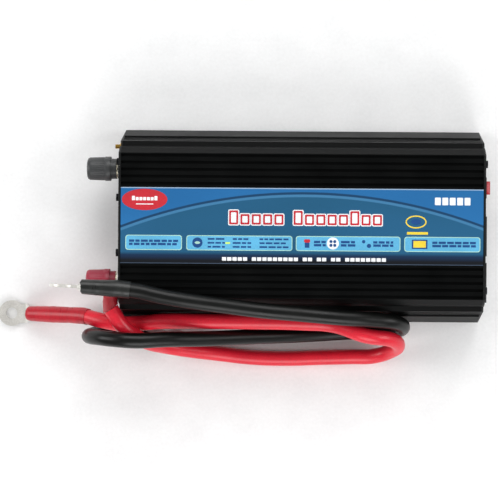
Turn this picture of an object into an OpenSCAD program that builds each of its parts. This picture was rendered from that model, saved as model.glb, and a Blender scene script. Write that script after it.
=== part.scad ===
// Power inverter: finned aluminium case, two battery posts with their leads, fan and mains outlets.
// Millimetres. +Z is up, +X runs from the battery end to the mains end, and Z 0 is under the feet.

/* [Case] */
// Length of the case over its end plates
case_len = 330; // [300:5:420]
// Height of the case above its feet
case_h = 80; // [76:1:110]
// Width of the case at its base
base_w = 177.6; // [170:0.2:230]
// Width of the case at the ledge below its shoulders
ledge_w = 152.8; // [145:0.2:165]
// Width of the flat top
top_w = 130; // [122:1:136]
// Thickness of the shell's walls
wall = 5; // [4:0.5:6]
// Thickness of the base plate
floor_t = 3; // [2:0.5:5]
// Thickness of each end plate
plate_t = 2; // [1.5:0.5:3]
// Depth of the shell's grooves
groove_d = 2.2; // [1:0.2:2.6]
// Width of the shell's grooves
groove_w = 2.6; // [1.5:0.1:4]
// Width of the name label
label_w = 68.2; // [50:0.2:70]
// Height of the feet
foot_h = 4; // [3:0.5:10]
// Diameter of the feet
foot_d = 16; // [12:1:18]

/* [Battery posts] */
// Distance from one post to the other
post_gap = 103; // [96:1:120]
// Diameter of the post studs
stud_d = 8; // [6:1:10]
// Pitch of the post studs' thread
thread_pitch = 1.25; // [0.8:0.05:1.5]
// Diameter of the knobs' rims
knob_d = 22.3; // [18:0.1:26]
// Length of the knobs
knob_len = 27.2; // [22:0.2:32]
// How far the black knob stands off its seat
black_slack = 2.2; // [1.4:0.1:4]

/* [Fan] */
// Side of the square fan frame
fan_size = 60; // [50:1:60]
// Depth of the fan frame
fan_depth = 15; // [12:1:20]
// Distance between the fan's screws
fan_pitch = 50; // [40:1:50]
// Number of fan blades
fan_blades = 7; // [5:1:9]

/* [Mains end] */
// Distance from one outlet to the next
outlet_gap = 42; // [40:1:44]
// Width of the outlet faces
outlet_w = 36; // [34:1:38]
// Height of the outlet faces
outlet_h = 46; // [42:1:50]
// Length of the switch bezel
switch_l = 32; // [32:1:36]
// Width of the switch bezel
switch_w = 19; // [19:1:22]
// Angle between the rocker's two positions
rocker_swing = 24; // [16:1:26]

/* [Battery leads] */
// Diameter of the leads over their insulation
lead_d = 14; // [10:0.5:15]
// Thickness of the ring lugs
lug_t = 2.5; // [2:0.1:3.5]
// Diameter over the rings of the lugs
lug_d = 24; // [20:1:26]
// Diameter of the holes at the battery ends
battery_hole_d = 10.5; // [8.4:0.1:12.5]

/* [Inside] */
// Width of the main board
board_w = 124; // [116:1:126]
// Gap between each end plate and the main board
board_gap = 25; // [22:1:40]
// Distance from one transformer to the next
transformer_pitch = 50; // [46:1:56]
// Height of the transformer cores
core_h = 42; // [34:1:44]

/* [Hidden] */
$fn = 48;

// Running clearance of a turning fit, and the larger gap between pieces that only pass
run_gap = 0.05;
pass_gap = 0.3;
eps = 0.01;

// Case section
top_z = foot_h + case_h;
floor_z = foot_h + floor_t;
shoulder_drop = 8.4;
shoulder_out = 4.9;
notch_drop = 14.5;
notch_out = 6.8;
notch_in = 5.3;
notch_end_drop = 17;
ledge_drop = 18.8;
skirt_h = 4.3;
ledge_z = top_z - ledge_drop;
skirt_z = floor_z + skirt_h;
flank_slope = (base_w - ledge_w) / 2 / (ledge_z - skirt_z);
shell_len = case_len - 2 * plate_t;
end_x = case_len / 2;
groove_pitch = 6.3;
first_groove = label_w / 2 + 3.6;
groove_count = floor((top_w / 2 - first_groove) / groove_pitch) + 1;
flank_grooves = 3;
ridge_r = 1.6;
ridge_z = ledge_z - 19.2;
boss_r = 4.5;
boss_hole_r = 1.75;
low_boss_z = floor_z + 7;
high_boss_z = top_z - wall - 3;
high_boss_y = top_w / 2 - 8;
label_t = 0.4;
label_inset = 0.3;
screw_r = 1.7;
screw_head_r = 3.4;
screw_head_t = 2;
screw_len = 12;
foot_screw_r = 1.95;
foot_head_r = 3.8;
foot_head_t = 2.2;
foot_head_z = 0.8;
foot_screw_len = 9;
foot_x = end_x - 25;

// Posts, measured out from the face of the end plate
post_z = foot_h + case_h / 2;
flange_t = 1;
flange_r = 12;
seat_t = 0.6;
seat_r = 8;
washer_t = 1;
washer_r = 9;
neck_r = 7;
inner_flange_t = 2;
busbar_t = 3;
nut_t = 6.5;
nut_r = 7.5;
stud_in = 17;
stud_out = 25;
seat_x = flange_t + seat_t;
red_washer_x = seat_x + lug_t + run_gap;
black_washer_x = seat_x + black_slack;
red_knob_x = red_washer_x + washer_t + run_gap;
black_knob_x = black_washer_x + washer_t + run_gap;
post_reach = max(red_knob_x, black_knob_x) + knob_len;
collar_r = knob_d / 2 - 1.9;
collar_len = 5.7;
rim_len = 5;
knob_taper = 0.8;
knob_dome = 2.4;
rib_count = 28;
rib_r = 0.55;

// Fan
fan_z = floor_z + (top_z - wall - floor_z) / 2 + 1;
fan_bore_r = fan_size / 2 - 2.5;
fan_window_r = fan_bore_r;
hub_r = 13;
shaft_r = 1.5;
blade_tip_r = fan_bore_r - 2.5;
blade_chord = fan_depth - 3;
blade_t = 1.6;
blade_tilt = 38;
fan_screw_r = 1.95;
fan_screw_gap = 0.2;
guard_w = 2.2;
guard_t = 1.2;
guard_rings = [8, 14, 20, 26];
ear_r = 4.6;
earth_y = 73;
earth_z = floor_z + 14;

// Mains end
bezel_t = 2;
outlet_flange_t = 2.5;
outlet_body_w = outlet_w - 6;
outlet_body_h = outlet_h - 6;
outlet_depth = 14;
outlet_edge_y = -8;
outlet_y = [outlet_edge_y - outlet_gap, outlet_edge_y];
slot_gap = 12.7;
slot_t = 2;
slot_long = 7.9;
slot_short = 6.4;
earth_hole_r = 2.6;
earth_drop = 11.9;
slot_rise = 5;
bore_depth = 12;
pocket_w = 5;
pocket_h = 9;
leaf_t = 0.6;
switch_y = 36;
switch_z = post_z + 8;
switch_wall = 1.3;
switch_depth = 18;
window_l = switch_l - 6.4;
window_w = switch_w - 6.4;
rocker_r = window_l / 2 - 0.4;
rocker_w = window_w - 0.6;
rocker_pivot_x = -1;
rocker_end_x = 3.4;
rocker_valley_x = 1.6;
rocker_back_x = -6;
rocker_pin_r = 1.5;
rocker_pin_len = 14.2;
rocker_tilt = rocker_swing / 2;
rocker_end_angle = acos((rocker_end_x - rocker_pivot_x) / rocker_r);
rocker_reach = rocker_pivot_x + rocker_r * cos(rocker_end_angle - rocker_tilt);
lamp_y = 60;
lamp_r = 3;
lamp_bezel_r = 4.5;
lamp_z = [switch_z + 7, switch_z - 7];
vent_count = 9;
vent_pitch = 6;
vent_y = 23;
vent_w = 3;
vent_h = 14;
vent_z = floor_z + 7;

// The origin is under the middle of the body, from the knobs' ends to the rocker
case_x = (post_reach - max(rocker_reach, outlet_flange_t)) / 2;

// Inside
board_t = 1.6;
standoff_h = 8;
board_z = floor_z + standoff_h;
deck_z = board_z + board_t;
board_len = case_len - 2 * board_gap;
board_end = board_len / 2;
standoff_y = 36;
standoff_r = 4;
busbar_w = 18;
busbar_foot = 46;
fuse_count = 6;
fuse_pitch = 9;
fuse_size = [19, 5, 16];
capacitor_count = 5;
capacitor_pitch = 22;
capacitor_r = 9;
capacitor_h = 34;
core_x = 28;
core_y = 46;
core_yoke = 6;
leg_y = 14;
window_y = 10;
winding_x = 38;
winding_y = 33;
winding_gap = 0.3;
bulk_r = 15;
bulk_h = 44;
choke_r = 15;
choke_wire_r = 7;
card_w = 80;
card_h = 30;
transistor_count = 10;
transistor_pitch = 14;
transistor_size = [10, 4.4, 15];
spreader_t = 3;
spreader_y = board_w / 2 + 0.5;
spreader_top = floor_z + 43;
spreader_len = 150;
pad_t = 0.3;
mains_lead_r = 1.8;

// Leads and lugs. Their points count X from the face of the battery end, Y from the case's middle
// and Z from the floor, and each route starts at its battery end.
lead_r = lead_d / 2;
lead_facets = 12;
barrel_r = 6;
barrel_len = 12;
sleeve_r = lead_r + 0.7;
thin_sleeve_r = barrel_r + 0.4;
sleeve_gap = 0.5;
sleeve_past = 1;
lug_flat = 2;
lug_neck = 4.8;
post_lug_d = 20;
post_hole_r = stud_d / 2 + 0.2;
red_post_lug_out = 9;
black_battery_hole = [-48, -54.5, 92.2];
black_post_hole = [46, -112, 1.8];
red_battery_hole = [-107, -83.5, 1.4];
red_post_hole = [-red_post_lug_out, -post_gap / 2, post_z];
black_route = [
    [2, -57, 92.2], [20, -59, 92.2], [38, -63, 92.2], [69, -68, 92], [99, -72, 88], [131, -76, 84],
    [165, -79, 81], [199, -82, 78], [227, -84, 72], [251, -87, 60], [258, -93, 38], [249, -97, 18],
    [230, -98, 9], [205, -99, 13], [165, -101, 22], [120, -102, 40], [75, -103, 60], [43, -103, 74],
    [17, -104, 80], [-3, -103, 78], [-19, -102, 68], [-28, -102, 52], [-29, -102, 35], [-22, -101, 19],
    [-9, -102, 10], [6, -104, 7.8], [16, -106, 7.8]
];
red_route = [
    [-37, -84, 31], [-19, -88, 40], [-3, -90.5, 43], [15, -90, 47], [39, -87.7, 52], [72, -87.5, 55],
    [117, -87.5, 55], [165, -88, 56], [195, -90, 57], [224, -99, 63], [247, -103, 52], [254, -109, 36],
    [249, -115, 20], [233, -121, 9.5], [211, -122, 7.6], [181, -123, 7.2], [149, -124, 7.2],
    [117, -123, 7.6], [90, -120, 9], [61, -116, 19], [40, -112, 30], [24, -107, 48], [13, -100, 61],
    [2, -90, 70], [-7, -76, 71]
];

function unit(v) = v / norm(v);
function last(list) = len(list) - 1;
// Half the case's outer width at height z on the flank
function flank_y(z) = ledge_w / 2 + (ledge_z - max(z, skirt_z)) * flank_slope;
function inner_y(z) = flank_y(z) - wall * sqrt(1 + flank_slope * flank_slope);
// Outside and inside of the right half of the section, from the top down
function outer_half() = [
    [top_w / 2, top_z],
    [top_w / 2 + shoulder_out, top_z - shoulder_drop],
    [top_w / 2 + notch_out, top_z - notch_drop],
    [top_w / 2 + notch_in, top_z - notch_end_drop],
    [ledge_w / 2, ledge_z],
    [base_w / 2, skirt_z],
    [base_w / 2, floor_z]
];
function inner_half() = [
    [top_w / 2 - wall, top_z - wall],
    [top_w / 2 + notch_in - wall - 1, ledge_z - 1],
    [inner_y(ledge_z - wall), ledge_z - wall],
    [inner_y(skirt_z), skirt_z],
    [inner_y(skirt_z), floor_z]
];
function mirrored(half) = concat(half, [for (i = [last(half):-1:0]) [-half[i][0], half[i][1]]]);

// Direction of a route at point i
function heading(path, i) = unit(path[min(i + 1, last(path))] - path[max(i - 1, 0)]);
// One side vector per point, each turned from the one before as little as possible
function sides(path, i = 0, before = [0, 1, 0]) =
    let (t = heading(path, i), s = unit(before - (before * t) * t))
    i == last(path) ? [s] : concat([s], sides(path, i + 1, s));

// Round bar along +X from x0 to x1
module bar(x0, x1, r) {
    translate([x0, 0, 0]) rotate([0, 90, 0]) cylinder(h = x1 - x0, r = r);
}

// A drawing in Y and Z, extruded along +X from x0 to x1
module plate(x0, x1) {
    translate([x0, 0, 0]) rotate([90, 0, 90]) linear_extrude(height = x1 - x0) children();
}

// A drawing in X and Z, extruded along Y about its own middle
module cheek(width) {
    translate([0, width / 2, 0]) rotate([90, 0, 0]) linear_extrude(height = width) children();
}

// A box that is centred in Y and Z
module block(x0, x1, w, h) {
    translate([x0, -w / 2, -h / 2]) cube([x1 - x0, w, h]);
}

// A box that is centred in X and Y and stands at height z
module standing(size, z) {
    translate([-size[0] / 2, -size[1] / 2, z]) cube(size);
}

// Shift from the case's centre to the part's origin
module on_case() {
    translate([case_x, 0, 0]) children();
}

// Mains-end face, with +X out of it
module on_ac_end(y, z) {
    translate([case_x + end_x, y, z]) children();
}

// Battery-end face, with +X out of it
module on_dc_end(y, z) {
    translate([case_x - end_x, y, z]) mirror([1, 0, 0]) children();
}

// Solid tube along a route of points
module tube(path, r, facets) {
    ring = [for (k = [0:facets - 1]) 360 * k / facets];
    side = sides(path);
    points = [
        for (i = [0:last(path)])
            let (u = side[i], v = cross(heading(path, i), u))
                for (a = ring) path[i] + r * (u * cos(a) + v * sin(a))
    ];
    start_cap = [[for (k = [0:facets - 1]) k]];
    end_cap = [[for (k = [facets - 1:-1:0]) last(path) * facets + k]];
    walls = [
        for (i = [0:last(path) - 1], k = [0:facets - 1])
            let (a = i * facets + k, b = i * facets + (k + 1) % facets)
                each [[a, a + facets, b + facets], [a, b + facets, b]]
    ];
    polyhedron(points = points, faces = concat(start_cap, end_cap, walls));
}

// Round piece between two points, from radius r1 to radius r2
module span(from, to, r1, r2) {
    axis = to - from;
    turn = atan2(axis[1], axis[0]);
    lean = acos(axis[2] / norm(axis));
    translate(from) rotate([0, lean, turn]) cylinder(h = norm(axis), r1 = r1, r2 = r2);
}

module section() {
    polygon(mirrored(outer_half()));
}

module boss_places() {
    for (side = [-1, 1]) {
        translate([side * high_boss_y, high_boss_z]) children();
        translate([side * (inner_y(low_boss_z) - 2.5), low_boss_z]) children();
    }
}

module top_grooves() {
    for (side = [-1, 1], i = [0:groove_count - 1])
        translate([side * (first_groove + i * groove_pitch), top_z])
            square([groove_w, 2 * groove_d], center = true);
}

module flank_groove_places() {
    lean = atan(flank_slope);
    for (side = [0, 1], i = [1:flank_grooves]) {
        z = ledge_z - i * groove_pitch + 1;
        mirror([side, 0]) translate([flank_y(z), z]) rotate(lean)
            square([2 * groove_d, groove_w], center = true);
    }
}

module ridges() {
    for (side = [-1, 1])
        translate([side * (flank_y(ridge_z) - 0.3), ridge_z]) circle(r = ridge_r);
}

module foot_places() {
    for (i = [0:3]) foot_place(i) children();
}

module foot_place(i) {
    x = i % 2 == 0 ? -foot_x : foot_x;
    y = (i < 2 ? 1 : -1) * (inner_y(low_boss_z) - 2.5);
    translate([x, y, 0]) children();
}

module top_shell() {
    color("#131414") on_case() difference() {
        union() {
            plate(-shell_len / 2, shell_len / 2) difference() {
                section();
                polygon(mirrored(inner_half()));
                top_grooves();
                flank_groove_places();
            }
            plate(-shell_len / 2, shell_len / 2) ridges();
            plate(-shell_len / 2, shell_len / 2) boss_places() circle(r = boss_r);
        }
        plate(-shell_len / 2 - 1, shell_len / 2 + 1) boss_places() circle(r = boss_hole_r);
        foot_places() translate([0, 0, floor_z - 1])
            cylinder(h = foot_screw_len, r = foot_screw_r + run_gap);
    }
}

module base_plate() {
    color("#141516") on_case() difference() {
        translate([-shell_len / 2, -base_w / 2, foot_h]) cube([shell_len, base_w, floor_t]);
        foot_places() translate([0, 0, foot_h - 1]) cylinder(h = floor_t + 2, r = foot_screw_r + pass_gap);
    }
}

module name_label() {
    color("#2F6A96") on_case()
        standing([shell_len - 2 * label_inset, label_w, label_t], top_z);
}

// Blank of both end plates: the section, carried down past the base plate
module end_blank() {
    difference() {
        polygon(mirrored(concat(outer_half(), [[base_w / 2, foot_h]])));
        boss_places() circle(r = screw_r + pass_gap);
    }
}

module dc_end_plate() {
    color("#161717") on_case() plate(-end_x, -end_x + plate_t) difference() {
        end_blank();
        translate([0, fan_z]) circle(r = fan_window_r);
        translate([0, fan_z]) fan_screw_places() circle(r = fan_screw_r + fan_screw_gap);
        for (side = [-1, 1]) translate([side * post_gap / 2, post_z]) circle(r = neck_r + run_gap);
        translate([earth_y, earth_z]) circle(r = 2.1);
    }
}

module ac_end_plate() {
    color("#161717") on_case() plate(end_x - plate_t, end_x) difference() {
        end_blank();
        for (y = outlet_y) translate([y, post_z])
            square([outlet_body_w + 0.4, outlet_body_h + 0.4], center = true);
        translate([switch_y, switch_z]) square([window_w + 2 * switch_wall + 0.4,
            window_l + 2 * switch_wall + 0.4], center = true);
        for (z = lamp_z) translate([lamp_y, z]) circle(r = lamp_r + 0.1);
        for (i = [0:vent_count - 1])
            translate([vent_y + i * vent_pitch, vent_z]) square([vent_w, vent_h]);
    }
}

module plate_screws() {
    color("#3A3B3D") for (end = [0, 1]) on_case() mirror([end, 0, 0]) translate([end_x, 0, 0]) {
        plate(0, screw_head_t) boss_places() circle(r = screw_head_r);
        plate(-screw_len, eps) boss_places() circle(r = screw_r);
    }
}

module foot(i) {
    color("#1C1C1C") on_case() foot_place(i) difference() {
        cylinder(h = foot_h, r = foot_d / 2);
        translate([0, 0, -1]) cylinder(h = foot_head_z + foot_head_t + 1, r = foot_head_r + 0.4);
        cylinder(h = foot_h + 1, r = foot_screw_r + pass_gap);
    }
}

module foot_screws() {
    color("#8C8F92") on_case() foot_places() {
        translate([0, 0, foot_head_z]) cylinder(h = foot_head_t, r = foot_head_r);
        translate([0, 0, foot_head_z])
            cylinder(h = floor_z - foot_head_z + foot_screw_len - 2, r = foot_screw_r);
    }
}

module post_base() {
    difference() {
        union() {
            bar(0, flange_t, flange_r);
            bar(-plate_t, eps, neck_r);
            bar(-plate_t - inner_flange_t, -plate_t, neck_r + 3);
        }
        bar(-plate_t - inner_flange_t - 1, flange_t + 1, stud_d / 2 + run_gap);
    }
}

module post_stud() {
    bar(flange_t, seat_x, seat_r);
    bar(-plate_t - stud_in, stud_out, stud_d / 2);
}

module post_nut() {
    x0 = -plate_t - inner_flange_t - busbar_t - nut_t;
    difference() {
        translate([x0, 0, 0]) rotate([0, 90, 0]) cylinder(h = nut_t, r = nut_r, $fn = 6);
        bar(x0 - 1, x0 + nut_t + 1, stud_d / 2 + run_gap);
    }
}

module post_washer(x) {
    difference() {
        bar(x, x + washer_t, washer_r);
        bar(x - 1, x + washer_t + 1, stud_d / 2 + run_gap);
    }
}

// Collar, rim and slightly tapered grip with a domed end, in one turned outline
module knob(x) {
    grip_x = collar_len + rim_len;
    rim_r = knob_d / 2;
    end_r = rim_r - knob_taper;
    difference() {
        translate([x, 0, 0]) rotate([0, 90, 0]) rotate_extrude() polygon([
            [0, 0], [collar_r - 0.6, 0], [collar_r, 0.6], [collar_r, collar_len], [rim_r, collar_len],
            [rim_r, grip_x], [rim_r - 0.4, grip_x], [end_r, knob_len - knob_dome],
            [end_r - 0.8, knob_len - knob_dome / 3], [end_r - 2.6, knob_len], [0, knob_len]
        ]);
        bar(x - 1, x + knob_len - 3, stud_d / 2 + run_gap);
        for (i = [0:rib_count - 1]) rotate([i * 360 / rib_count, 0, 0])
            translate([0, 0, rim_r - 0.2]) bar(x + grip_x + 0.6, x + knob_len + 1, rib_r);
    }
}

module black_post_base() {
    color("#1B1B1B") on_dc_end(post_gap / 2, post_z) post_base();
}

module black_post_stud() {
    color("#D9D2B8") on_dc_end(post_gap / 2, post_z) post_stud();
}

module black_post_nut() {
    color("#C9CCCE") on_dc_end(post_gap / 2, post_z) post_nut();
}

module black_post_washer() {
    color("#D9D9D4") on_dc_end(post_gap / 2, post_z) post_washer(black_washer_x);
}

module black_post_knob() {
    color("#454545") on_dc_end(post_gap / 2, post_z) knob(black_knob_x);
}

module red_post_base() {
    color("#8A1C28") on_dc_end(-post_gap / 2, post_z) post_base();
}

module red_post_stud() {
    color("#D9D2B8") on_dc_end(-post_gap / 2, post_z) post_stud();
}

module red_post_nut() {
    color("#C9CCCE") on_dc_end(-post_gap / 2, post_z) post_nut();
}

module red_post_washer() {
    color("#D9D9D4") on_dc_end(-post_gap / 2, post_z) post_washer(red_washer_x);
}

module red_post_knob() {
    color("#A83A50") on_dc_end(-post_gap / 2, post_z) knob(red_knob_x);
}

module fan_frame() {
    disc_x = -plate_t - fan_depth;
    color("#202122") on_dc_end(0, fan_z) {
        difference() {
            block(disc_x, -plate_t, fan_size, fan_size);
            bar(disc_x - 1, -plate_t + 1, fan_bore_r);
            for (y = [-1, 1], z = [-1, 1]) translate([0, y * fan_pitch / 2, z * fan_pitch / 2])
                bar(disc_x - 1, -plate_t + 1, fan_screw_r + run_gap);
        }
        difference() {
            union() {
                bar(disc_x, disc_x + 2, hub_r);
                for (a = [0, 90]) rotate([a, 0, 0]) block(disc_x, disc_x + 2, 2 * fan_bore_r + 1, 4);
            }
            bar(disc_x - 1, disc_x + 3, shaft_r + run_gap);
        }
    }
}

module fan_rotor() {
    back_x = -plate_t - fan_depth + 2 + pass_gap;
    front_x = -plate_t - 2;
    root_r = hub_r - 3;
    color("#26282A") on_dc_end(0, fan_z) {
        bar(back_x, front_x, hub_r - 0.5);
        bar(back_x - 2, back_x + 1, shaft_r);
        for (i = [0:fan_blades - 1]) rotate([i * 360 / fan_blades, 0, 0])
            translate([(back_x + front_x) / 2, 0, (root_r + blade_tip_r) / 2]) rotate([0, 0, blade_tilt])
                cube([blade_chord, blade_t, blade_tip_r - root_r], center = true);
    }
}

// Pressed guard: flat rings on four diagonal arms with an ear at each end
module fan_guard() {
    arm_len = fan_pitch * sqrt(2);
    color("#C4C7C9") on_dc_end(0, fan_z) plate(0, guard_t) difference() {
        union() {
            for (r = guard_rings) difference() {
                circle(r = r + guard_w / 2);
                circle(r = r - guard_w / 2);
            }
            for (a = [45, 135]) rotate(a) difference() {
                square([arm_len, guard_w], center = true);
                circle(r = guard_rings[0]);
            }
            fan_screw_places() circle(r = ear_r);
        }
        fan_screw_places() circle(r = fan_screw_r + fan_screw_gap);
    }
}

module fan_screw_places() {
    for (y = [-1, 1], z = [-1, 1]) translate([y * fan_pitch / 2, z * fan_pitch / 2]) children();
}

module fan_screws() {
    color("#3A3B3D") on_dc_end(0, fan_z) {
        plate(guard_t, guard_t + screw_head_t) fan_screw_places() circle(r = screw_head_r);
        plate(-plate_t - screw_len, guard_t + eps) fan_screw_places() circle(r = fan_screw_r);
    }
}

module earth_terminal() {
    color("#C9A24A") on_dc_end(earth_y, earth_z) {
        bar(0, 1, 5);
        translate([1 - eps, 0, 0]) rotate([0, 90, 0]) cylinder(h = 3.2, r = 4, $fn = 6);
        bar(-plate_t - 5, 9, 2);
        bar(-plate_t - 4, -plate_t, 4);
    }
}

// Face with two blade slots over a round earth hole, and a pocket for the contact behind each slot
module outlet() {
    face_x = outlet_flange_t;
    back_x = -plate_t - outlet_depth;
    difference() {
        union() {
            block(back_x, eps, outlet_body_w, outlet_body_h);
            block(0, face_x, outlet_w, outlet_h);
        }
        for (side = [-1, 1]) translate([0, side * slot_gap / 2, slot_rise]) {
            block(back_x - 1, face_x + 1, slot_t, side > 0 ? slot_long : slot_short);
            block(back_x - 1, face_x - 5, pocket_w, pocket_h);
        }
        translate([0, 0, slot_rise - earth_drop]) bar(face_x - bore_depth, face_x + 1, earth_hole_r);
    }
}

module outlet_contacts() {
    x0 = -plate_t - outlet_depth;
    color("#C9A24A") for (y = outlet_y) on_ac_end(y, post_z)
        for (side = [-1, 1]) translate([0, side * slot_gap / 2, slot_rise]) {
            for (leaf = [-1, 1]) translate([0, leaf * (slot_t / 2 + leaf_t), 0])
                block(x0 + 1, -5, leaf_t, pocket_h - 3);
            block(x0, x0 + 1 + eps, pocket_w - 0.4, pocket_h - 3);
            block(x0 - 6, x0 + eps, 0.8, 5);
        }
}

module switch_housing() {
    color("#151515") on_ac_end(switch_y, switch_z) difference() {
        union() {
            block(0, bezel_t, switch_w, switch_l);
            block(-switch_depth, eps, window_w + 2 * switch_wall, window_l + 2 * switch_wall);
        }
        block(-switch_depth + 3, bezel_t + 1, window_w, window_l);
        translate([rocker_pivot_x, 0, 0]) rotate([90, 0, 0])
            cylinder(h = 30, r = rocker_pin_r + run_gap, center = true);
    }
}

module switch_terminals() {
    color("#C9A24A") on_ac_end(switch_y, switch_z) for (z = [-8, 0, 8])
        translate([0, 0, z]) block(-switch_depth - 7, -switch_depth, 4.8, 0.8);
}

module rocker_button() {
    color("#B0202A") on_ac_end(switch_y, switch_z) translate([rocker_pivot_x, 0, 0])
        rotate([0, rocker_tilt, 0]) {
            cheek(rocker_w) intersection() {
                circle(r = rocker_r);
                translate([-rocker_pivot_x, 0]) polygon([
                    [rocker_back_x, -rocker_r], [rocker_end_x, -rocker_r], [rocker_valley_x, 0],
                    [rocker_end_x, rocker_r], [rocker_back_x, rocker_r]
                ]);
            }
            rotate([90, 0, 0]) cylinder(h = rocker_pin_len, r = rocker_pin_r, center = true);
        }
}

module lamp() {
    bar(-plate_t - 10, eps, lamp_r);
    bar(0, 1.2, lamp_bezel_r);
    bar(1.2 - eps, 2.2, lamp_r);
}

module power_lamp() {
    color("#3FB84F") on_ac_end(lamp_y, lamp_z[0]) lamp();
}

module fault_lamp() {
    color("#C8282C") on_ac_end(lamp_y, lamp_z[1]) lamp();
}

module standoff_places() {
    for (x = [-board_end + 6, 0, board_end - 6], y = [-standoff_y, standoff_y])
        translate([x, y, 0]) children();
}

module main_board() {
    color("#1E6B3A") on_case() difference() {
        standing([board_len, board_w, board_t], board_z);
        standoff_places() translate([0, 0, board_z - 1]) cylinder(h = board_t + 2, r = 1.7);
    }
}

module board_standoffs() {
    color("#B9BBBD") on_case() standoff_places() translate([0, 0, floor_z]) difference() {
        cylinder(h = standoff_h, r = standoff_r);
        translate([0, 0, 1]) cylinder(h = standoff_h, r = 1.55);
    }
}

module board_screws() {
    color("#8C8F92") on_case() standoff_places() {
        translate([0, 0, deck_z]) cylinder(h = 2, r = 2.9);
        translate([0, 0, deck_z - 7]) cylinder(h = 7 + eps, r = 1.5);
    }
}

// Bar from a post's stud down to the board and along it
module busbar() {
    x0 = -plate_t - inner_flange_t;
    drop = post_z - deck_z;
    difference() {
        translate([x0 - busbar_t, -busbar_w / 2, -drop]) cube([busbar_t, busbar_w, drop + busbar_w / 2]);
        bar(x0 - busbar_t - 1, x0 + 1, stud_d / 2 + run_gap);
    }
    translate([x0 - busbar_foot, -busbar_w / 2, -drop]) cube([busbar_foot, busbar_w, busbar_t]);
}

module negative_busbar() {
    color("#C97B4A") on_dc_end(post_gap / 2, post_z) busbar();
}

module positive_busbar() {
    color("#C97B4A") on_dc_end(-post_gap / 2, post_z) busbar();
}

module fuses() {
    color("#D9A520") on_case() for (i = [0:fuse_count - 1])
        translate([-board_end + 30, (i - (fuse_count - 1) / 2) * fuse_pitch, 0]) {
            standing(fuse_size, deck_z + 4);
            for (x = [-5.5, 5.5]) translate([x, 0, 0]) standing([5, 2, 4 + eps], deck_z);
        }
}

module input_capacitors() {
    color("#2B2E63") on_case() for (i = [0:capacitor_count - 1])
        translate([-board_end + 54, (i - (capacitor_count - 1) / 2) * capacitor_pitch, deck_z])
            cylinder(h = capacitor_h, r = capacitor_r);
}

module transformer_places() {
    for (i = [-1:1]) translate([i * transformer_pitch + 5, 0, deck_z]) children();
}

module transformer_cores() {
    color("#3C3D40") on_case() transformer_places() difference() {
        standing([core_x, core_y, core_h], 0);
        for (side = [-1, 1]) translate([0, side * (leg_y + window_y) / 2, 0])
            standing([core_x + 2, window_y, core_h - 2 * core_yoke], core_yoke);
    }
}

module transformer_windings() {
    color("#C9962E") on_case() transformer_places() difference() {
        standing([winding_x, winding_y, core_h - 2 * core_yoke - 2], core_yoke + 1);
        standing([core_x + 2 * winding_gap, leg_y + 2 * winding_gap, core_h], 0);
    }
}

module output_capacitor() {
    color("#1D2026") on_case() translate([board_end - 45, 26, deck_z]) cylinder(h = bulk_h, r = bulk_r);
}

module output_choke() {
    color("#B5682E") on_case() translate([board_end - 45, -26, deck_z + choke_r + choke_wire_r])
        rotate([0, 90, 0]) rotate_extrude() translate([choke_r, 0]) circle(r = choke_wire_r);
}

module control_board() {
    color("#1E6B3A") on_case() translate([board_end - 20, 0, 0])
        standing([board_t, card_w, card_h], deck_z);
}

// Both rows, each piece with its flat back towards the case wall
module transistors() {
    back_y = spreader_y - pad_t;
    color("#26282A") on_case() for (side = [0, 1]) mirror([0, side, 0])
        for (i = [0:transistor_count - 1])
            translate([(i - (transistor_count - 1) / 2) * transistor_pitch, 0, 0]) {
            translate([-transistor_size[0] / 2, back_y - transistor_size[1], deck_z + 6])
                cube(transistor_size);
            translate([-3, back_y - transistor_size[1] + 1, deck_z]) cube([6, 0.8, 6 + eps]);
        }
}

// Angle bars that carry the transistors' heat to the case walls
module heat_spreaders() {
    z1 = spreader_top;
    z0 = z1 - spreader_t;
    outline = [
        [spreader_y, deck_z], [spreader_y + spreader_t, deck_z], [spreader_y + spreader_t, z0],
        [inner_y(z0) - run_gap, z0], [inner_y(z1) - run_gap, z1], [spreader_y, z1]
    ];
    color("#A9ACAE") on_case() for (side = [0, 1]) mirror([0, side, 0])
        plate(-spreader_len / 2, spreader_len / 2) polygon(outline);
}

module insulating_pads() {
    color("#D8D4C4") on_case() for (side = [0, 1]) mirror([0, side, 0])
        translate([-spreader_len / 2, spreader_y - pad_t, deck_z + 5]) cube([spreader_len, pad_t, 18]);
}

// Leads from the board to the outlets' contacts
module mains_leads() {
    back_x = end_x - plate_t - outlet_depth - 4;
    color("#7A3B1E") on_case() for (y = outlet_y, side = [-1, 1]) {
        y1 = y + side * (slot_gap / 2 + 0.4 + mains_lead_r);
        z1 = post_z + slot_rise;
        tube([
            [board_end - 10, y1, deck_z], [board_end - 10, y1, deck_z + 8], [board_end - 6, y1, z1 - 8],
            [back_x - 6, y1, z1 - 1], [back_x, y1, z1]
        ], mains_lead_r, 8);
    }
}

module outlet_node(i) {
    color("#1A1A1C") on_ac_end(outlet_y[i], post_z) outlet();
}

// Ring lug: hole at the origin, ring flat from Z 0 to lug_t, barrel along +X and raised by lean degrees
module ring_lug(ring_d, hole_r, lean, barrel_z) {
    difference() {
        union() {
            cylinder(h = lug_t, r = ring_d / 2);
            translate([0, 3 - ring_d / 2, 0]) cube([ring_d / 2 + lug_flat, ring_d - 6, lug_t]);
            hull() {
                translate([ring_d / 2 + lug_flat - 1, 3 - ring_d / 2, 0]) cube([1, ring_d - 6, lug_t]);
                translate([barrel_start(ring_d), 0, barrel_z]) rotate([0, 90 - lean, 0])
                    cylinder(h = 1, r = barrel_r - 0.5, $fn = 32);
            }
            translate([barrel_start(ring_d), 0, barrel_z]) rotate([0, 90 - lean, 0])
                cylinder(h = barrel_len, r = barrel_r);
        }
        translate([0, 0, -1]) cylinder(h = lug_t + 1 + barrel_r, r = hole_r);
    }
}

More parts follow.
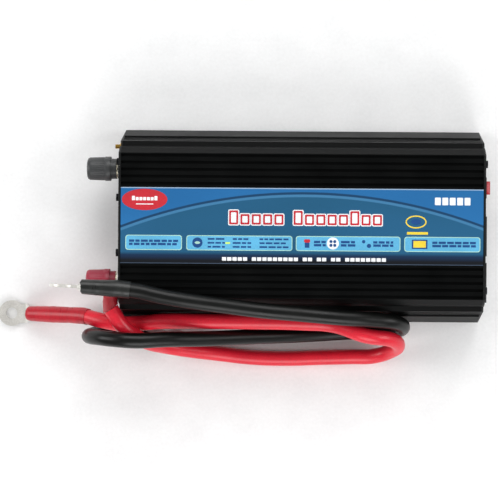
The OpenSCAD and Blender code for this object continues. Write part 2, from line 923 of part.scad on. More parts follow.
// Shrunk tube over a lug's barrel, from near its mouth to the end of the lead, where it is square to the
// lead; near is the point before that end on the lead's route
module sleeve(mouth, axis, end, near, barrel_sleeve_r) {
    way = unit(end - near);
    stop = end + sleeve_gap * way;
    turn = mouth + (barrel_len + sleeve_past) * axis;
    difference() {
        hull() {
            span(mouth + axis, turn, barrel_sleeve_r, barrel_sleeve_r, $fn = 48);
            span(stop, stop + 0.2 * way, sleeve_r, sleeve_r, $fn = 48);
        }
        span(mouth - axis, mouth + (barrel_len + run_gap) * axis, barrel_r + run_gap, barrel_r + run_gap);
    }
}

// Leads' frame, with X 0 on the face of the battery end
module on_leads() {
    translate([case_x - end_x, 0, 0]) children();
}

function barrel_start(ring_d) = ring_d / 2 + lug_neck;
function flat_dir(from, to) = unit([to[0] - from[0], to[1] - from[1], 0]);
function red_lean() =
    let (rise = red_route[0][2] - red_battery_hole[2] - barrel_r)
    atan(rise / (red_route[0][0] - red_battery_hole[0] - barrel_start(lug_d)));
function red_post_way() =
    let (out = red_route[last(red_route)] - red_post_hole)
    unit([0, out[1], out[2]]);

module black_lead() {
    color("#2A2C2A") on_leads() tube(black_route, lead_r, lead_facets);
}

module red_lead() {
    color("#D2222F") on_leads() tube(red_route, lead_r, lead_facets);
}

module black_battery_lug() {
    way = flat_dir(black_battery_hole, black_route[0]);
    color("#C9C6BC") on_leads() translate(black_battery_hole) rotate([0, 0, atan2(way[1], way[0])])
        translate([0, lug_t / 2, 0]) rotate([90, 0, 0]) ring_lug(lug_d, battery_hole_d / 2, 0, lug_t / 2);
}

module black_battery_sleeve() {
    way = flat_dir(black_battery_hole, black_route[0]);
    mouth = black_battery_hole + barrel_start(lug_d) * way;
    color("#1D1D1D") on_leads() sleeve(mouth, way, black_route[0], black_route[1], thin_sleeve_r);
}

module black_post_lug() {
    way = flat_dir(black_post_hole, black_route[last(black_route)]);
    color("#C9C6BC") on_leads() translate(black_post_hole) rotate([0, 0, atan2(way[1], way[0])])
        ring_lug(post_lug_d, post_hole_r, 0, barrel_r);
}

module black_post_sleeve() {
    n = last(black_route);
    way = flat_dir(black_post_hole, black_route[n]);
    mouth = black_post_hole + [0, 0, barrel_r] + barrel_start(post_lug_d) * way;
    color("#1D1D1D") on_leads() sleeve(mouth, way, black_route[n], black_route[n - 1], thin_sleeve_r);
}

module red_battery_lug() {
    way = flat_dir(red_battery_hole, red_route[0]);
    color("#DAD8D2") on_leads() translate(red_battery_hole) rotate([0, 0, atan2(way[1], way[0])])
        ring_lug(lug_d, battery_hole_d / 2, red_lean(), barrel_r);
}

module red_battery_sleeve() {
    way = flat_dir(red_battery_hole, red_route[0]);
    lean = red_lean();
    mouth = red_battery_hole + [0, 0, barrel_r] + barrel_start(lug_d) * way;
    axis = cos(lean) * way + [0, 0, sin(lean)];
    color("#C61E30") on_leads() sleeve(mouth, axis, red_route[0], red_route[1], sleeve_r);
}

// Its ring is between the red post's seat and washer, and its barrel rises away from the case
module red_post_lug() {
    rise = atan2(red_post_way()[2], -red_post_way()[1]);
    color("#C9C6BC") on_leads() translate([-seat_x, -post_gap / 2, post_z]) rotate([90 - rise, 0, 0])
        rotate([0, -90, 0]) ring_lug(post_lug_d, post_hole_r, 0, red_post_lug_out - seat_x);
}

module red_post_sleeve() {
    n = last(red_route);
    mouth = red_post_hole + barrel_start(post_lug_d) * red_post_way();
    color("#C61E30") on_leads()
        sleeve(mouth, red_post_way(), red_route[n], red_route[n - 1], thin_sleeve_r);
}

for (i = [0:3]) foot(i);
top_shell();
base_plate();
name_label();
dc_end_plate();
ac_end_plate();
plate_screws();
foot_screws();
black_post_base();
black_post_stud();
black_post_nut();
black_post_washer();
black_post_knob();
red_post_base();
red_post_stud();
red_post_nut();
red_post_washer();
red_post_knob();
fan_frame();
fan_rotor();
fan_guard();
fan_screws();
earth_terminal();
for (i = [0:1]) outlet_node(i);
outlet_contacts();
switch_housing();
switch_terminals();
rocker_button();
power_lamp();
fault_lamp();
main_board();
board_standoffs();
board_screws();
negative_busbar();
positive_busbar();
fuses();
input_capacitors();
transformer_cores();
transformer_windings();
output_capacitor();
output_choke();
control_board();
transistors();
heat_spreaders();
insulating_pads();
mains_leads();
black_lead();
black_battery_lug();
black_battery_sleeve();
black_post_lug();
black_post_sleeve();
red_lead();
red_battery_lug();
red_battery_sleeve();
red_post_lug();
red_post_sleeve();
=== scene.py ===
"""Power inverter: looks of the finned case, its printed label, the knob posts, the fan, the mains
outlets and the two battery leads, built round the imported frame."""

import math
import random

import bpy
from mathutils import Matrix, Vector


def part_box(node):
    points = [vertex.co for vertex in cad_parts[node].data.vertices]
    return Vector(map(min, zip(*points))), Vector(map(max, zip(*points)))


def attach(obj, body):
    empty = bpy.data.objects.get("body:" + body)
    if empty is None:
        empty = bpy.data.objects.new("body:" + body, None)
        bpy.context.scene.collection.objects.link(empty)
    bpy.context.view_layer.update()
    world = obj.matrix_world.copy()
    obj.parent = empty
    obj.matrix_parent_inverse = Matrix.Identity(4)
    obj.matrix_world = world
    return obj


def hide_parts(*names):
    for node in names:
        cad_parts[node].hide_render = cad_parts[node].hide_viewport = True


bl_info = {
    "name": "Power inverter",
    "version": (1, 0, 0),
    "blender": (4, 5, 0),
    "location": "View3D > Sidebar > Inverter",
    "description": "Battery to mains power inverter with its leads",
    "category": "Object",
}

MM = 0.001
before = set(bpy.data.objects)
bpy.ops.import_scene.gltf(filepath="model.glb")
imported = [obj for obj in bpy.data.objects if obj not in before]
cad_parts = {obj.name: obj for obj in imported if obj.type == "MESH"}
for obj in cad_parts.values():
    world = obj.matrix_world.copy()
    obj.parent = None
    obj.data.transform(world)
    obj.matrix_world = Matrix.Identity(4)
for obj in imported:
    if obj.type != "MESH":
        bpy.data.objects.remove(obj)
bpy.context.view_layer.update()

# Landmarks of the frame, in metres
DC_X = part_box("dc_end_plate")[0].x
CASE_X = (DC_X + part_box("ac_end_plate")[1].x) / 2
LABEL_LOW, LABEL_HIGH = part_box("name_label")

# Battery leads: points in millimetres, with X from the battery end's face, each from its battery end
BLACK_ROUTE = [
    (2, -57, 92.2), (20, -59, 92.2), (38, -63, 92.2), (69, -68, 92), (99, -72, 88), (131, -76, 84),
    (165, -79, 81), (199, -82, 78), (227, -84, 72), (251, -87, 60), (258, -93, 38), (249, -97, 18),
    (230, -98, 9), (205, -99, 13), (165, -101, 22), (120, -102, 40), (75, -103, 60), (43, -103, 74),
    (17, -104, 80), (-3, -103, 78), (-19, -102, 68), (-28, -102, 52), (-29, -102, 35), (-22, -101, 19),
    (-9, -102, 10), (6, -104, 7.8), (16, -106, 7.8),
]
RED_ROUTE = [
    (-37, -84, 31), (-19, -88, 40), (-3, -90.5, 43), (15, -90, 47), (39, -87.7, 52), (72, -87.5, 55),
    (117, -87.5, 55), (165, -88, 56), (195, -90, 57), (224, -99, 63), (247, -103, 52), (254, -109, 36),
    (249, -115, 20), (233, -121, 9.5), (211, -122, 7.6), (181, -123, 7.2), (149, -124, 7.2),
    (117, -123, 7.6), (90, -120, 9), (61, -116, 19), (40, -112, 30), (24, -107, 48), (13, -100, 61),
    (2, -90, 70), (-7, -76, 71),
]
BLACK_LENGTH = 0.685
RED_LENGTH = 0.628
# The black battery lug's sleeve: its mouth on the lug's neck, how flat it is there and how soon it is round
BLACK_MOUTH = (-33.3, -55.2, 92.2)
MOUTH_FLAT = 0.36
MOUTH_REACH = 2.2
# How much a shrunk tube's radius swells and narrows along it, as a share
SWELLING = 0.012

# Label, in millimetres from the case's middle: the arc's middle, its top and its radius
ARC_X = 2.7
ARC_TOP = 28.1
ARC_R = 457
# How deep the print starts in the film, and how high each coat of ink stands over it
PRINT_LOW = 0.02
RIM_INK = 0.04
FIRST_INK = 0.05
FIELD_INK = 0.07
BADGE_INK = 0.08
TITLE_INK = 0.09
SMALL_INK = 0.1
BADGE_WORD_INK = 0.11
TOP_INK = 0.12
DOT_INK = 0.13
# Blocks in place of words: the gap between words and the margin of a block, both as shares of the pitch,
# and the height of a low block as a share of a tall one's
WORD_GAP = 0.7
BLOCK_MARGIN = 0.1
LOW_BLOCK = 0.74
# Title: left, right, foot and head, letters in each word, and which blocks are tall
TITLE = (-66.4, 72.7, 1.2, 13.8)
TITLE_WORDS = [5, 8]
TITLE_TALL = [1, 0, 0, 0, 0, 1, 0, 0, 0, 0, 1, 0, 0]
# Rounded fields: left and right of each, and their foot, head and rim
FIELDS = ((-158.3, -107.6), (-103.6, -8.5), (-5.4, 88.4), (91.9, 160.1))
FIELD_FOOT = -22.2
FIELD_HEAD = -8.7
FIELD_RIM = 0.7
# Small print in the fields: left, right and rows of each block
SMALL_PRINT = (
    (-155, -111, 2), (-84.5, -69, 3), (-62, -45.5, 3), (-38, -12, 3), (10.8, 21.5, 2), (35, 48, 2),
    (64, 82, 2), (117, 156, 2),
)
SMALL_PRINT_Y = -15.4

# Studio: the camera's height and turn, its lens, and the shift that frames the leads beside the case
CAMERA_Z = 1.794
CAMERA_TURN = 0.42
CAMERA_LENS = 137.8
CAMERA_SHIFT = (-0.1064, -0.0446)
FLOOR_SIDE = 8
WORLD_STRENGTH = 0.29
# Lamps: name, place, side in metres, watts
LAMPS = (
    ("back", (0.1, 1.9, 1.5), 1.6, 30),
    ("front", (0.2, -1.9, 1.4), 1.6, 31),
    ("left", (-1.9, 0.2, 1.2), 1.2, 18),
    ("right", (2.0, 0.1, 1.3), 1.2, 18),
)
LAMP_AIM = (0, 0, 0.05)


def on_leads(point):
    """A lead's point in metres, in the frame."""
    return Vector((DC_X + point[0] * MM, point[1] * MM, point[2] * MM))


# ---------------------------------------------------------------- materials


def linear(colour):
    """Linear RGBA of an sRGB hex colour such as #2F6A96."""
    parts = [int(colour[i : i + 2], 16) / 255 for i in (1, 3, 5)]
    return [c / 12.92 if c <= 0.04045 else ((c + 0.055) / 1.055) ** 2.4 for c in parts] + [1.0]


def add(tree, kind, values=None, links=None, **settings):
    """A node with its settings, its inputs' values and the sockets that feed it."""
    made = tree.nodes.new(kind)
    for name, value in settings.items():
        setattr(made, name, value)
    for name, value in (values or {}).items():
        made.inputs[name].default_value = value
    for name, socket in (links or {}).items():
        tree.links.new(socket, made.inputs[name])
    return made


def blank(name, **values):
    """A new material with a Principled shader, and its tree, shader and object coordinates."""
    made = bpy.data.materials.new(name)
    made.use_nodes = True
    tree = made.node_tree
    shader = tree.nodes["Principled BSDF"]
    for socket, value in values.items():
        shader.inputs[socket.replace("_", " ").title()].default_value = value
    place = add(tree, "ShaderNodeTexCoord").outputs["Object"]
    return made, tree, shader, place


def grained(name, dark, pale, roughness, grain, bump, metallic=0.0, stretch=(1, 1, 1), spread=0.06, coat=0.0,
            specular=0.5):
    """A finish whose colour, gloss and relief vary with one fine grain, grain being its size in mm."""
    made, tree, shader, place = blank(name)
    shader.inputs["Metallic"].default_value = metallic
    shader.inputs["Coat Weight"].default_value = coat
    shader.inputs["Coat Roughness"].default_value = 0.15
    shader.inputs["Specular IOR Level"].default_value = specular
    turned = add(tree, "ShaderNodeMapping", {"Scale": stretch}, {"Vector": place})
    fine = add(tree, "ShaderNodeTexNoise", {"Scale": 1 / (grain * MM), "Detail": 4.0, "Roughness": 0.6},
               {"Vector": turned.outputs[0]})
    broad = add(tree, "ShaderNodeTexNoise", {"Scale": 1 / (30 * MM), "Detail": 3.0}, {"Vector": place})
    blend = add(tree, "ShaderNodeMath", {1: 0.5}, {0: broad.outputs["Fac"]}, operation="MULTIPLY")
    both = add(tree, "ShaderNodeMath", {1: 0.5}, {0: fine.outputs["Fac"], 2: blend.outputs[0]},
               operation="MULTIPLY_ADD")
    ramp = add(tree, "ShaderNodeValToRGB", links={"Fac": both.outputs[0]})
    ramp.color_ramp.elements[0].position, ramp.color_ramp.elements[1].position = 0.35, 0.65
    ramp.color_ramp.elements[0].color, ramp.color_ramp.elements[1].color = linear(dark), linear(pale)
    gloss = add(tree, "ShaderNodeMapRange", {"From Min": 0.3, "From Max": 0.7, "To Min": roughness - spread,
                                             "To Max": roughness + spread}, {"Value": both.outputs[0]})
    relief = add(tree, "ShaderNodeBump", {"Strength": bump, "Distance": 0.1 * MM},
                 {"Height": fine.outputs["Fac"]})
    tree.links.new(ramp.outputs["Color"], shader.inputs["Base Color"])
    tree.links.new(gloss.outputs[0], shader.inputs["Roughness"])
    tree.links.new(relief.outputs[0], shader.inputs["Normal"])
    return made


def anodised_aluminium():
    """Black anodised extrusion: satin, with faint die lines along its length."""
    return grained("anodised_aluminium", "#060707", "#0E0F0F", 0.42, 0.5, 0.12, stretch=(0.02, 1, 1),
                   specular=0.06)


def powder_coat():
    """Black powder coat on sheet steel: matte, with a fine orange-peel skin."""
    return grained("powder_coat_black", "#090A0A", "#131414", 0.55, 0.9, 0.25, specular=0.25)


def label_film(blue, bright, line_dark, line_pale):
    """Printed polyester film: two blues that meet at an arc, a fading dark band and a pale border."""
    made, tree, shader, place = blank("printed_polyester_film", roughness=0.3)
    shader.inputs["Coat Weight"].default_value = 0.1
    shader.inputs["Coat Roughness"].default_value = 0.12
    centre = add(tree, "ShaderNodeVectorMath", {1: (CASE_X + ARC_X * MM, (ARC_TOP - ARC_R) * MM, 0)},
                 {0: place}, operation="SUBTRACT")
    flat = add(tree, "ShaderNodeVectorMath", {1: (1, 1, 0)}, {0: centre.outputs[0]}, operation="MULTIPLY")
    reach = add(tree, "ShaderNodeVectorMath", links={0: flat.outputs[0]}, operation="LENGTH")
    far = reach.outputs["Value"]
    across = add(tree, "ShaderNodeSeparateXYZ", links={0: place}).outputs["Y"]

    def step(socket, low, high):
        """0 up to low, 1 from high on."""
        return add(tree, "ShaderNodeMapRange", {"From Min": low, "From Max": high}, {"Value": socket},
                   clamp=True).outputs[0]

    def mix(factor, under, over):
        """The colour over laid on the colour or socket under."""
        mixer = add(tree, "ShaderNodeMix", {7: linear(over)}, {"Factor": factor}, data_type="RGBA")
        if isinstance(under, str):
            mixer.inputs[6].default_value = linear(under)
        else:
            tree.links.new(under, mixer.inputs[6])
        return mixer.outputs[2]

    def line(inside, outside, soft, under, colour):
        """A line along the arc, from inside to outside of its radius in mm, with edges soft mm wide."""
        low, high, blur = (ARC_R + inside) * MM, (ARC_R + outside) * MM, soft * MM
        rise = step(far, low - blur, low)
        fall = step(far, high + blur, high)
        both = add(tree, "ShaderNodeMath", links={0: rise, 1: fall}, operation="MULTIPLY")
        return mix(both.outputs[0], under, colour)

    # Broad, uneven clouds in both blues
    stretched = add(tree, "ShaderNodeMapping", {"Scale": (0.4, 1.5, 1)}, {"Vector": place})
    clouds = add(tree, "ShaderNodeTexNoise", {"Scale": 14.0, "Detail": 1.0}, {"Vector": stretched.outputs[0]})
    tint = step(clouds.outputs["Fac"], 0.3, 0.75)
    join = add(tree, "ShaderNodeMix", None,
               {"Factor": step(far, ARC_R * MM, (ARC_R + 0.3) * MM)}, data_type="RGBA")
    tree.links.new(mix(tint, blue, "#23618A"), join.inputs[6])
    tree.links.new(mix(tint, bright, "#2A76B4"), join.inputs[7])
    colour = line(0.5, 2.2, 0.6, join.outputs[2], line_dark)
    colour = line(-1.6, 0, 0.7, colour, line_pale)
    # Bands along the front and back edges: from and to, in mm from the front edge, and colour
    width = (LABEL_HIGH.y - LABEL_LOW.y) / MM
    for start, end, band in (
        (10.5, 7.5, "#0E2A4A"), (6.5, 3, "#060C16"), (width - 0.9, width - 0.8, "#9CB4CE"),
        (0.6, 0.5, "#46566A"),
    ):
        colour = mix(step(across, LABEL_LOW.y + start * MM, LABEL_LOW.y + end * MM), colour, band)
    tree.links.new(colour, shader.inputs["Base Color"])
    fine = add(tree, "ShaderNodeTexNoise", {"Scale": 2500.0, "Detail": 2.0}, {"Vector": place})
    relief = add(tree, "ShaderNodeBump", {"Strength": 0.04, "Distance": 0.05 * MM},
                 {"Height": fine.outputs["Fac"]})
    tree.links.new(relief.outputs[0], shader.inputs["Normal"])
    return made


def ink(name, colour):
    """Screen-printing ink on the film: opaque, a little matte, with a faint mottle."""
    return grained("ink_" + name, colour, lighter(colour, 1.12), 0.35, 0.8, 0.03, spread=0.04)


def lighter(colour, factor):
    """The hex colour made lighter by a factor."""
    return "#" + "".join(f"{min(255, round(int(colour[i:i + 2], 16) * factor)):02X}" for i in (1, 3, 5))


def jacket(name, dark, pale, specular=0.5):
    """PVC cable jacket: smooth and waxy, with drawing marks too faint to see one by one."""
    return grained(name, dark, pale, 0.34, 1.6, 0.1, spread=0.08, specular=specular)


def shrink_tube(name, dark, pale):
    """Polyolefin tube shrunk on with heat: softly glossy, with small pinched wrinkles."""
    return grained(name, dark, pale, 0.34, 4.0, 0.35, stretch=(2.2, 0.6, 0.6), spread=0.1)


def tinned_copper():
    """Tin over copper: a pale grey-white metal, dulled in soft patches."""
    return grained("tinned_copper", "#D6D3CC", "#F6F4EE", 0.36, 1.2, 0.1, metallic=0.45, spread=0.1)


def nickel_plate():
    """Bright nickel on brass: warm silver, turned on a lathe."""
    return grained("nickel_plated_brass", "#BDB49A", "#E8E2CF", 0.22, 0.4, 0.08, metallic=1.0)


def moulded(name, dark, pale, roughness=0.45, grain=0.6, bump=0.15):
    """Moulded plastic with a light spark-eroded grain."""
    return grained(name, dark, pale, roughness, grain, bump)


def metal(name, dark, pale, roughness, grain=0.5, stretch=(1, 1, 1)):
    """Bare or plated metal with a rolled or drawn finish."""
    return grained(name, dark, pale, roughness, grain, 0.08, metallic=1.0, stretch=stretch)


def circuit_board():
    """Green solder mask over copper tracks: glossy, with tracks showing as paler lanes."""
    made, tree, shader, place = blank("solder_mask", roughness=0.3)
    lanes = add(tree, "ShaderNodeTexBrick", {"Scale": 1.0, "Mortar Size": 0.6 * MM, "Brick Width": 19 * MM,
                                             "Row Height": 4.5 * MM, "Color1": linear("#1B5E33"),
                                             "Color2": linear("#1F6C3B"), "Mortar": linear("#124526")},
                {"Vector": place})
    tree.links.new(lanes.outputs["Color"], shader.inputs["Base Color"])
    relief = add(tree, "ShaderNodeBump", {"Strength": 0.2, "Distance": 0.05 * MM},
                 {"Height": lanes.outputs["Fac"]})
    tree.links.new(relief.outputs[0], shader.inputs["Normal"])
    return made


def lens(name, colour):
    """Tinted clear polycarbonate over a lamp: bright inside, glossy outside."""
    made = grained(name, colour, lighter(colour, 1.25), 0.12, 3.0, 0.02, spread=0.02)
    made.node_tree.nodes["Principled BSDF"].inputs["Transmission Weight"].default_value = 0.15
    return made


# ---------------------------------------------------------------- mesh helpers


def clear_selection():
    """Leaves nothing selected."""
    if bpy.context.object and bpy.context.object.mode != "OBJECT":
        bpy.ops.object.mode_set(mode="OBJECT")
    bpy.ops.object.select_all(action="DESELECT")


def only(obj):
    """Makes this the one selected and active object."""
    clear_selection()
    bpy.context.view_layer.objects.active = obj
    obj.select_set(True)


def settle(obj, name, finish, smooth=30):
    """Names a new object, puts its place into its mesh and gives it its finish."""
    only(obj)
    bpy.ops.object.transform_apply(location=True, rotation=True, scale=True)
    obj.name = name
    obj.data.name = name
    obj.data.materials.clear()
    obj.data.materials.append(finish)
    if smooth:
        bpy.ops.object.shade_smooth_by_angle(angle=math.radians(smooth))
    return obj


def joined(parts):
    """One object from several."""
    clear_selection()
    for part in parts:
        part.select_set(True)
    bpy.context.view_layer.objects.active = parts[0]
    if len(parts) > 1:
        bpy.ops.object.join()
    return parts[0]


def belongs(obj, body, slot, *replaced):
    """Ties a finished piece to its body and hides the CAD nodes that it stands for; slot is not used."""
    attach(obj, body)
    if replaced:
        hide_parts(*replaced)


def dress(nodes, finish, edge=0.0):
    """Gives CAD nodes a finish and, where edge is a width in mm, softly broken edges."""
    for name in nodes:
        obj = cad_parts[name]
        obj.data.materials.clear()
        obj.data.materials.append(finish)
        if edge:
            weld = obj.modifiers.new("Weld", "WELD")
            weld.merge_threshold = 0.002 * MM
            bevel = obj.modifiers.new("Edges", "BEVEL")
            bevel.width = edge * MM
            bevel.segments = 2
            bevel.limit_method = "ANGLE"
            bevel.angle_limit = math.radians(35)
            bevel.use_clamp_overlap = True
            bevel.harden_normals = False


def tube_curve(name, points, radius, radii=None, resolution=10):
    """A round open curve through points in metres."""
    data = bpy.data.curves.new(name, "CURVE")
    data.dimensions = "3D"
    data.bevel_depth = radius
    data.bevel_resolution = 6
    data.resolution_u = resolution
    data.use_fill_caps = True
    line = data.splines.new("BEZIER")
    line.bezier_points.add(len(points) - 1)
    for i, (knot, point) in enumerate(zip(line.bezier_points, points)):
        knot.co = point
        knot.handle_left_type = knot.handle_right_type = "AUTO"
        knot.radius = radii[i] if radii else 1.0
    obj = bpy.data.objects.new(name, data)
    bpy.context.collection.objects.link(obj)
    return obj


def as_mesh(obj):
    """The object's curve made a mesh."""
    only(obj)
    bpy.ops.object.convert(target="MESH")
    return bpy.context.object


# ---------------------------------------------------------------- settings


class InverterSettings(bpy.types.PropertyGroup):
    """Colours and sizes that a user would change."""

    label_blue: bpy.props.StringProperty(
        name="Label blue", description="Main blue of the label", default="#1B5678")
    label_bright: bpy.props.StringProperty(
        name="Label corners", description="Brighter blue above the arc", default="#1E66A0")
    lead_red: bpy.props.StringProperty(
        name="Red lead", description="Jacket of the red lead", default="#D81F33")
    lead_black: bpy.props.StringProperty(
        name="Black lead", description="Jacket of the black lead", default="#0A0B0A")
    lead_d: bpy.props.FloatProperty(
        name="Lead diameter", description="Diameter over the jacket", default=0.014, unit="LENGTH")
    edge: bpy.props.FloatProperty(
        name="Broken edges", description="Width of the broken edges, in mm", default=0.35)
    light: bpy.props.FloatProperty(name="Light", description="Strength of the studio lights", default=1.0)


def settings():
    """The scene's colours and sizes."""
    return bpy.context.scene.inverter


# ---------------------------------------------------------------- stage and leads


class InverterStage(bpy.types.Operator):
    """Camera straight above the case, pale floor and soft lights"""

    bl_idname = "inverter.stage"
    bl_label = "Stage"

    def execute(self, context):
        clear_selection()
        bpy.ops.object.camera_add(location=(CASE_X, 0, CAMERA_Z), rotation=(0, 0, math.radians(CAMERA_TURN)))
        camera = context.object
        camera.data.lens = CAMERA_LENS
        camera.data.sensor_width = 36
        camera.data.shift_x, camera.data.shift_y = CAMERA_SHIFT
        context.scene.camera = camera
        bpy.ops.mesh.primitive_plane_add(size=FLOOR_SIDE, location=(0, 0, 0))
        floor = context.object
        settle(floor, "studio_floor", floor_paint(), smooth=0)
        for name, place, side, watts in LAMPS:
            bpy.ops.object.light_add(type="AREA", location=place)
            lamp = context.object
            lamp.name = "light_" + name
            lamp.data.size = side
            lamp.data.energy = watts * settings().light
            lamp.rotation_euler = (Vector(LAMP_AIM) - Vector(place)).to_track_quat("-Z", "Y").to_euler()
        world = context.scene.world or bpy.data.worlds.new("studio")
        context.scene.world = world
        world.use_nodes = True
        backdrop = world.node_tree.nodes["Background"]
        backdrop.inputs["Color"].default_value = linear("#F4F5F6")
        backdrop.inputs["Strength"].default_value = WORLD_STRENGTH
        # Plain sRGB, so that the printed blues and the white floor come out as their hex colours say
        context.scene.view_settings.view_transform = "Standard"
        return {"FINISHED"}


def floor_paint():
    """Matt white studio paper."""
    return grained("studio_paper", "#F6F6F6", "#FFFFFF", 0.9, 3.0, 0.02, specular=0.1)


class InverterLeads(bpy.types.Operator):
    """The two battery leads"""

    bl_idname = "inverter.leads"
    bl_label = "Battery leads"

    def execute(self, context):
        chosen = settings()
        red = jacket("pvc_jacket_red", chosen.lead_red, lighter(chosen.lead_red, 1.12))
        black = jacket("pvc_jacket_black", chosen.lead_black, lighter(chosen.lead_black, 1.4), 0.3)
        for name, route, length, finish, slot, ends in (
            ("black_battery_lead", BLACK_ROUTE, BLACK_LENGTH, black, "black_cable",
             ("black_battery_lug", "black_battery_tube", "black_post_lug", "black_post_sleeve")),
            ("red_battery_lead", RED_ROUTE, RED_LENGTH, red, "red_cable",
             ("red_battery_lug", "red_battery_tube", "red_post_lug", "red_post_sleeve")),
        ):
            points = [on_leads(p) for p in route]
            lead = tube_curve(name, points, chosen.lead_d / 2)
            lead.data.materials.append(finish)
            belongs(lead, "case", slot, "black_lead" if "black" in name else "red_lead")
        return {"FINISHED"}


# ---------------------------------------------------------------- case


class InverterCase(bpy.types.Operator):
    """Finned shell, base, end plates, feet and screws"""

    bl_idname = "inverter.case"
    bl_label = "Case"

    def execute(self, context):
        edge = settings().edge
        dress(["top_shell"], anodised_aluminium(), edge)
        sheet_steel = powder_coat()
        dress(["base_plate", "dc_end_plate", "ac_end_plate"], sheet_steel, edge)
        rubber = moulded("nitrile_rubber", "#0F0F0F", "#1A1A1A", 0.8)
        dress(["foot_1", "foot_2", "foot_3", "foot_4"], rubber, edge)
        blacked = metal("blacked_steel", "#141414", "#26262A", 0.4)
        dress(["plate_screws", "foot_screws", "fan_screws"], blacked, 0.2)
        return {"FINISHED"}


class InverterPosts(bpy.types.Operator):
    """Studs, nuts, washers and knobs of the two battery posts, and the earth terminal"""

    bl_idname = "inverter.posts"
    bl_label = "Battery posts"

    def execute(self, context):
        dress(["black_post_base"], moulded("nylon_black", "#17171A", "#232326", 0.5), 0.3)
        dress(["red_post_base"], moulded("nylon_red", "#8E1522", "#A51E2D", 0.45), 0.3)
        dress(["black_post_knob"], moulded("phenolic_black", "#353637", "#4C4E4F", 0.42), 0.25)
        dress(["red_post_knob"], moulded("phenolic_red", "#962438", "#AE3249", 0.4), 0.25)
        zinc = metal("zinc_plated_steel", "#9DA0A2", "#C9CCCE", 0.3)
        dress(["black_post_stud", "red_post_stud", "black_post_nut", "red_post_nut"], zinc, 0.2)
        dress(["black_post_washer", "red_post_washer"], nickel_plate(), 0.15)
        dress(["earth_terminal"], metal("turned_brass", "#A88338", "#D2AC58", 0.28), 0.2)
        return {"FINISHED"}


class InverterEnds(bpy.types.Operator):
    """Fan at the battery end, and the outlets, switch and lamps at the mains end"""

    bl_idname = "inverter.ends"
    bl_label = "Fan, outlets and switch"

    def execute(self, context):
        dress(["fan_frame"], moulded("pbt_black", "#101011", "#1C1C1E", 0.5), 0.3)
        dress(["fan_rotor"], moulded("pbt_rotor", "#131415", "#222325", 0.4), 0.2)
        dress(["fan_guard"], metal("blacked_wire", "#0E0E10", "#202024", 0.35), 0.2)
        dress(["outlet_1", "outlet_2"], moulded("urea_black", "#141416", "#1F1F22", 0.35), 0.4)
        brass = metal("pressed_brass", "#A0813C", "#CBA655", 0.35)
        dress(["outlet_contacts", "switch_terminals"], brass)
        dress(["switch_housing"], moulded("nylon_switch", "#121214", "#1C1C1F", 0.4), 0.3)
        dress(["rocker_button"], moulded("polycarbonate_red", "#A01420", "#C01C2A", 0.25), 0.3)
        dress(["power_lamp"], lens("lamp_green", "#2BC24A"), 0.2)
        dress(["fault_lamp"], lens("lamp_red", "#D8202A"), 0.2)
        return {"FINISHED"}


class InverterInside(bpy.types.Operator):
    """Boards, transformers, capacitors and busbars inside the case"""

    bl_idname = "inverter.inside"
    bl_label = "Inside"

    def execute(self, context):
        dress(["main_board", "control_board"], circuit_board())
        dress(["board_standoffs"], metal("nickel_steel", "#A5A49C", "#C9C8C0", 0.3))
        dress(["board_screws"], metal("zinc_screw", "#9DA0A2", "#C4C7C9", 0.3))
        dress(["negative_busbar", "positive_busbar"], metal("rolled_copper", "#A85B36", "#D08A5E", 0.32))
        dress(["fuses"], moulded("fuse_polyamide", "#C9571A", "#DD6C26", 0.35))
        dress(["input_capacitors"], moulded("pvc_film_black", "#15161C", "#22242C", 0.25))
        dress(["output_capacitor"], moulded("pvc_film_dark", "#1A2436", "#26344A", 0.25))
        dress(["transformer_cores"], moulded("ferrite", "#232426", "#35373A", 0.6))
        dress(["transformer_windings"], moulded("polyester_tape", "#C9A52E", "#E0BD45", 0.35))
        dress(["output_choke"], metal("enamelled_copper", "#8A4A22", "#B8693A", 0.3))
        dress(["heat_spreaders"], metal("mill_aluminium", "#A9ACAF", "#CDD0D2", 0.35, stretch=(0.05, 1, 1)))
        dress(["transistors"], moulded("epoxy_black", "#131313", "#1E1E1E", 0.5))
        dress(["insulating_pads"], moulded("silicone_grey", "#7D8389", "#989EA4", 0.6))
        dress(["mains_leads"], jacket("pvc_brown", "#5A2D18", "#74402A"))
        return {"FINISHED"}


# ---------------------------------------------------------------- label


def printed(x0, x1, y0, y1, top, corner=0.0, steps=4):
    """A patch of ink from x0 to x1 and y0 to y1, in mm from the case's middle, and top mm over the film."""
    clear_selection()
    low = LABEL_HIGH.z - PRINT_LOW * MM
    bpy.ops.mesh.primitive_plane_add(size=1, location=(CASE_X + (x0 + x1) / 2 * MM, (y0 + y1) / 2 * MM, low))
    patch = bpy.context.object
    patch.scale = ((x1 - x0) * MM, (y1 - y0) * MM, 1)
    bpy.ops.object.transform_apply(location=True, rotation=True, scale=True)
    bpy.ops.object.mode_set(mode="EDIT")
    bpy.ops.mesh.select_all(action="SELECT")
    if corner:
        bpy.ops.mesh.bevel(offset=corner * MM, segments=steps, affect="VERTICES")
        bpy.ops.mesh.select_all(action="SELECT")
    bpy.ops.mesh.extrude_region_move(TRANSFORM_OT_translate={"value": (0, 0, (top + PRINT_LOW) * MM)})
    bpy.ops.mesh.select_all(action="SELECT")
    bpy.ops.mesh.normals_make_consistent(inside=False)
    bpy.ops.object.mode_set(mode="OBJECT")
    return patch


